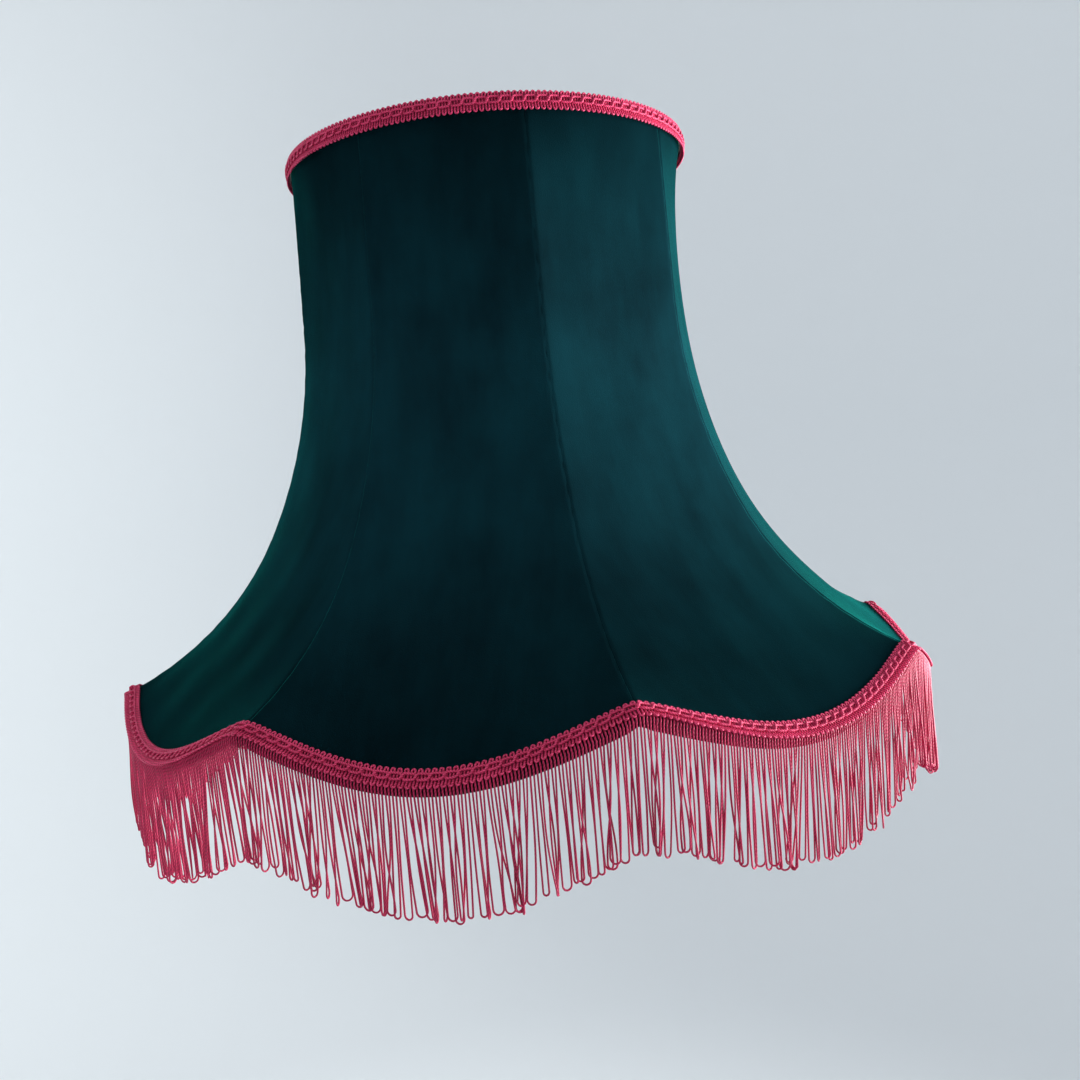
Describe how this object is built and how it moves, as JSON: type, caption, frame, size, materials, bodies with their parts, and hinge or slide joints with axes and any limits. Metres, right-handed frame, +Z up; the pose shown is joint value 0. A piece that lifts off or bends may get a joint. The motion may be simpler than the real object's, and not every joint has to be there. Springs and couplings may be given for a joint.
{
  "type": "lamp shade",
  "caption": "Bell-shaped velvet lamp shade on a ribbed wire frame, with a scalloped hem, looped fringe, braid trim and a tilting gimbal fitter.",
  "frame": {"origin": "on the shade's axis, in the plane of the fitter ring's underside, where the ring sits on the lampholder", "axes": "+Z up along the shade's axis; rib 1 points along -Y and the tilt axis runs along Y"},
  "size_m": [0.46, 0.46, 0.3632],
  "materials": {
    "velvet": "bottle-green cut-pile velvet, dark face on with a teal sheen at grazing angles",
    "lining": "smooth champagne lining satin",
    "trim": "cerise viscose braid and twisted cord, soft lustre",
    "frame_wire": "off-white coated steel wire, satin",
    "fitter_metal": "brass-plated steel, lightly brushed"
  },
  "bodies": {
    "fitter": {"fitter_ring": "fitter_metal"},
    "shade": {"top_ring": "frame_wire", "bottom_ring": "frame_wire", "rib_1": "frame_wire", "rib_2": "frame_wire", "rib_3": "frame_wire", "rib_4": "frame_wire", "rib_5": "frame_wire", "rib_6": "frame_wire", "rib_7": "frame_wire", "rib_8": "frame_wire", "velvet_panel_1": "velvet", "velvet_panel_2": "velvet", "velvet_panel_3": "velvet", "velvet_panel_4": "velvet", "velvet_panel_5": "velvet", "velvet_panel_6": "velvet", "velvet_panel_7": "velvet", "velvet_panel_8": "velvet", "lining_panel_1": "lining", "lining_panel_2": "lining", "lining_panel_3": "lining", "lining_panel_4": "lining", "lining_panel_5": "lining", "lining_panel_6": "lining", "lining_panel_7": "lining", "lining_panel_8": "lining", "top_gimp": "trim", "fringe_heading": "trim", "fringe_1": "trim", "fringe_2": "trim", "fringe_3": "trim", "fringe_4": "trim", "fringe_5": "trim", "fringe_6": "trim", "fringe_7": "trim", "fringe_8": "trim", "arm_1": "frame_wire", "arm_2": "frame_wire", "arm_3": "frame_wire", "arm_4": "frame_wire", "gimbal_ring": "fitter_metal", "pivot_rivet_front": "fitter_metal", "pivot_rivet_back": "fitter_metal"}
  },
  "joints": [
    {"name": "shade_tilt", "type": "hinge", "parent": "fitter", "child": "shade", "pos_m": [0, 0, 0.005], "axis": [0, 1, 0], "range_deg": [-25, 25]}
  ]
}
